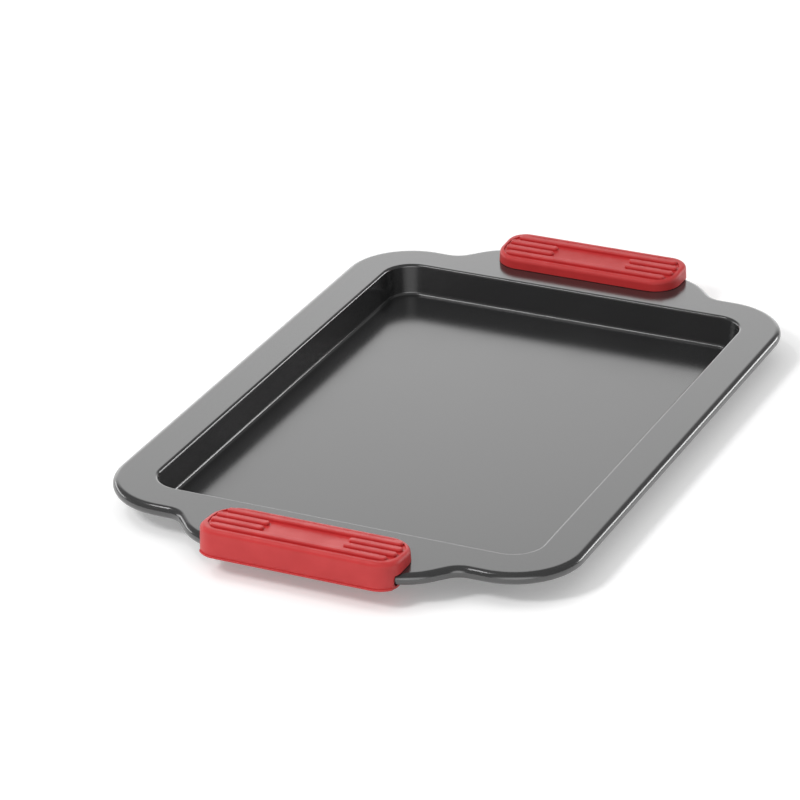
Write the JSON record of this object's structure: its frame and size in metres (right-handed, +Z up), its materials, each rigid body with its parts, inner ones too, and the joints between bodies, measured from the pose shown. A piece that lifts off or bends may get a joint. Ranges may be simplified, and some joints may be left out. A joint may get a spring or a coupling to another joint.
{
  "type": "cookie sheet",
  "caption": "Shallow rectangular non-stick baking tray with a wide flat rim, a rolled edge, a handle at each short end and pull-off silicone grips.",
  "frame": {"origin": "on the surface it rests on, under the middle of the tray", "axes": "+X along the tray from the left handle to the right one, +Y across it to the back, +Z up out of the well"},
  "size_m": [0.4394, 0.277, 0.0294],
  "materials": {
    "nonstick_steel": "dark grey non-stick coating, satin, on pressed steel",
    "bare_wire": "plain drawn steel wire, hidden in the rolled edge",
    "red_silicone": "soft matt red silicone with a thin moulding lip"
  },
  "bodies": {
    "pan": {"tray": "nonstick_steel", "rim_wire": "bare_wire"},
    "left_grip": {"left_grip": "red_silicone"},
    "right_grip": {"right_grip": "red_silicone"}
  },
  "joints": [
    {"name": "left_grip_pull", "type": "slide", "parent": "pan", "child": "left_grip", "axis": [-1, 0, 0], "range_m": [0, 0.03]},
    {"name": "right_grip_pull", "type": "slide", "parent": "pan", "child": "right_grip", "axis": [1, 0, 0], "range_m": [0, 0.03]}
  ]
}
